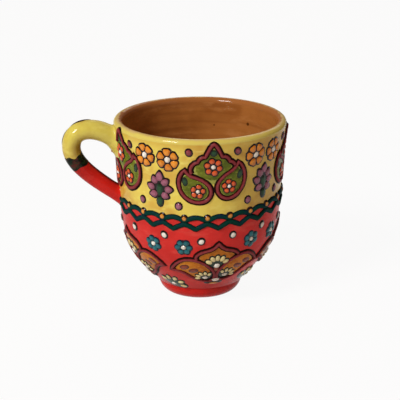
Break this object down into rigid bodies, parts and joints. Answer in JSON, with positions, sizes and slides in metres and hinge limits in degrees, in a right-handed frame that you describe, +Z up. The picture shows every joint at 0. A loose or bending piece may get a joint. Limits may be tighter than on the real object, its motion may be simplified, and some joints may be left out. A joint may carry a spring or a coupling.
{
  "type": "mug",
  "caption": "Glazed clay mug with a rounded bowl, foot ring and ear handle, yellow over red slip and raised painted flowers",
  "frame": {"origin": "the centre of the foot ring's flat face, on the table", "axes": "+Z up along the mug's axis, -X towards the handle, +Y to the far side when the handle is on the left"},
  "size_m": [0.1125, 0.0873, 0.0911],
  "materials": {
    "fired_clay": "bare fired earthenware",
    "clear_glaze": "clear glaze over brown clay",
    "yellow_glaze": "glossy lemon yellow, mottled",
    "red_glaze": "glossy coral red",
    "dark_green_glaze": "glossy dark green line",
    "maroon_glaze": "glossy maroon outline",
    "ochre_glaze": "glossy ochre",
    "olive_glaze": "glossy olive green, mottled",
    "orange_glaze": "glossy orange",
    "mauve_glaze": "glossy mauve",
    "teal_glaze": "glossy teal",
    "cream_glaze": "glossy cream",
    "white_glaze": "glossy white"
  },
  "bodies": {
    "root": {"body": "fired_clay", "foot_ring": "fired_clay", "handle": "fired_clay", "upper_luting": "fired_clay", "lower_luting": "fired_clay", "lining_glaze": "clear_glaze", "yellow_slip": "yellow_glaze", "red_slip": "red_glaze", "foot_slip": "red_glaze", "handle_yellow_slip": "yellow_glaze", "handle_dark_band": "dark_green_glaze", "handle_red_slip": "red_glaze", "handle_leaves": "maroon_glaze", "chain_upper_line": "dark_green_glaze", "chain_lower_line": "dark_green_glaze", "chain_beads": "ochre_glaze", "boteh_outlines": "maroon_glaze", "boteh_fields": "olive_glaze", "boteh_florets": "orange_glaze", "boteh_seeds": "dark_green_glaze", "rosette_petals": "orange_glaze", "flower_centres": "white_glaze", "sprig_petals": "mauve_glaze", "sprig_stems": "dark_green_glaze", "maroon_dots": "maroon_glaze", "pink_dots": "mauve_glaze", "teal_petals": "teal_glaze", "white_dots": "white_glaze", "palmette_outlines": "maroon_glaze", "palmette_fields": "ochre_glaze", "palmette_seeds": "maroon_glaze", "fan_petals": "cream_glaze", "fan_hearts": "white_glaze"}
  },
  "joints": []
}
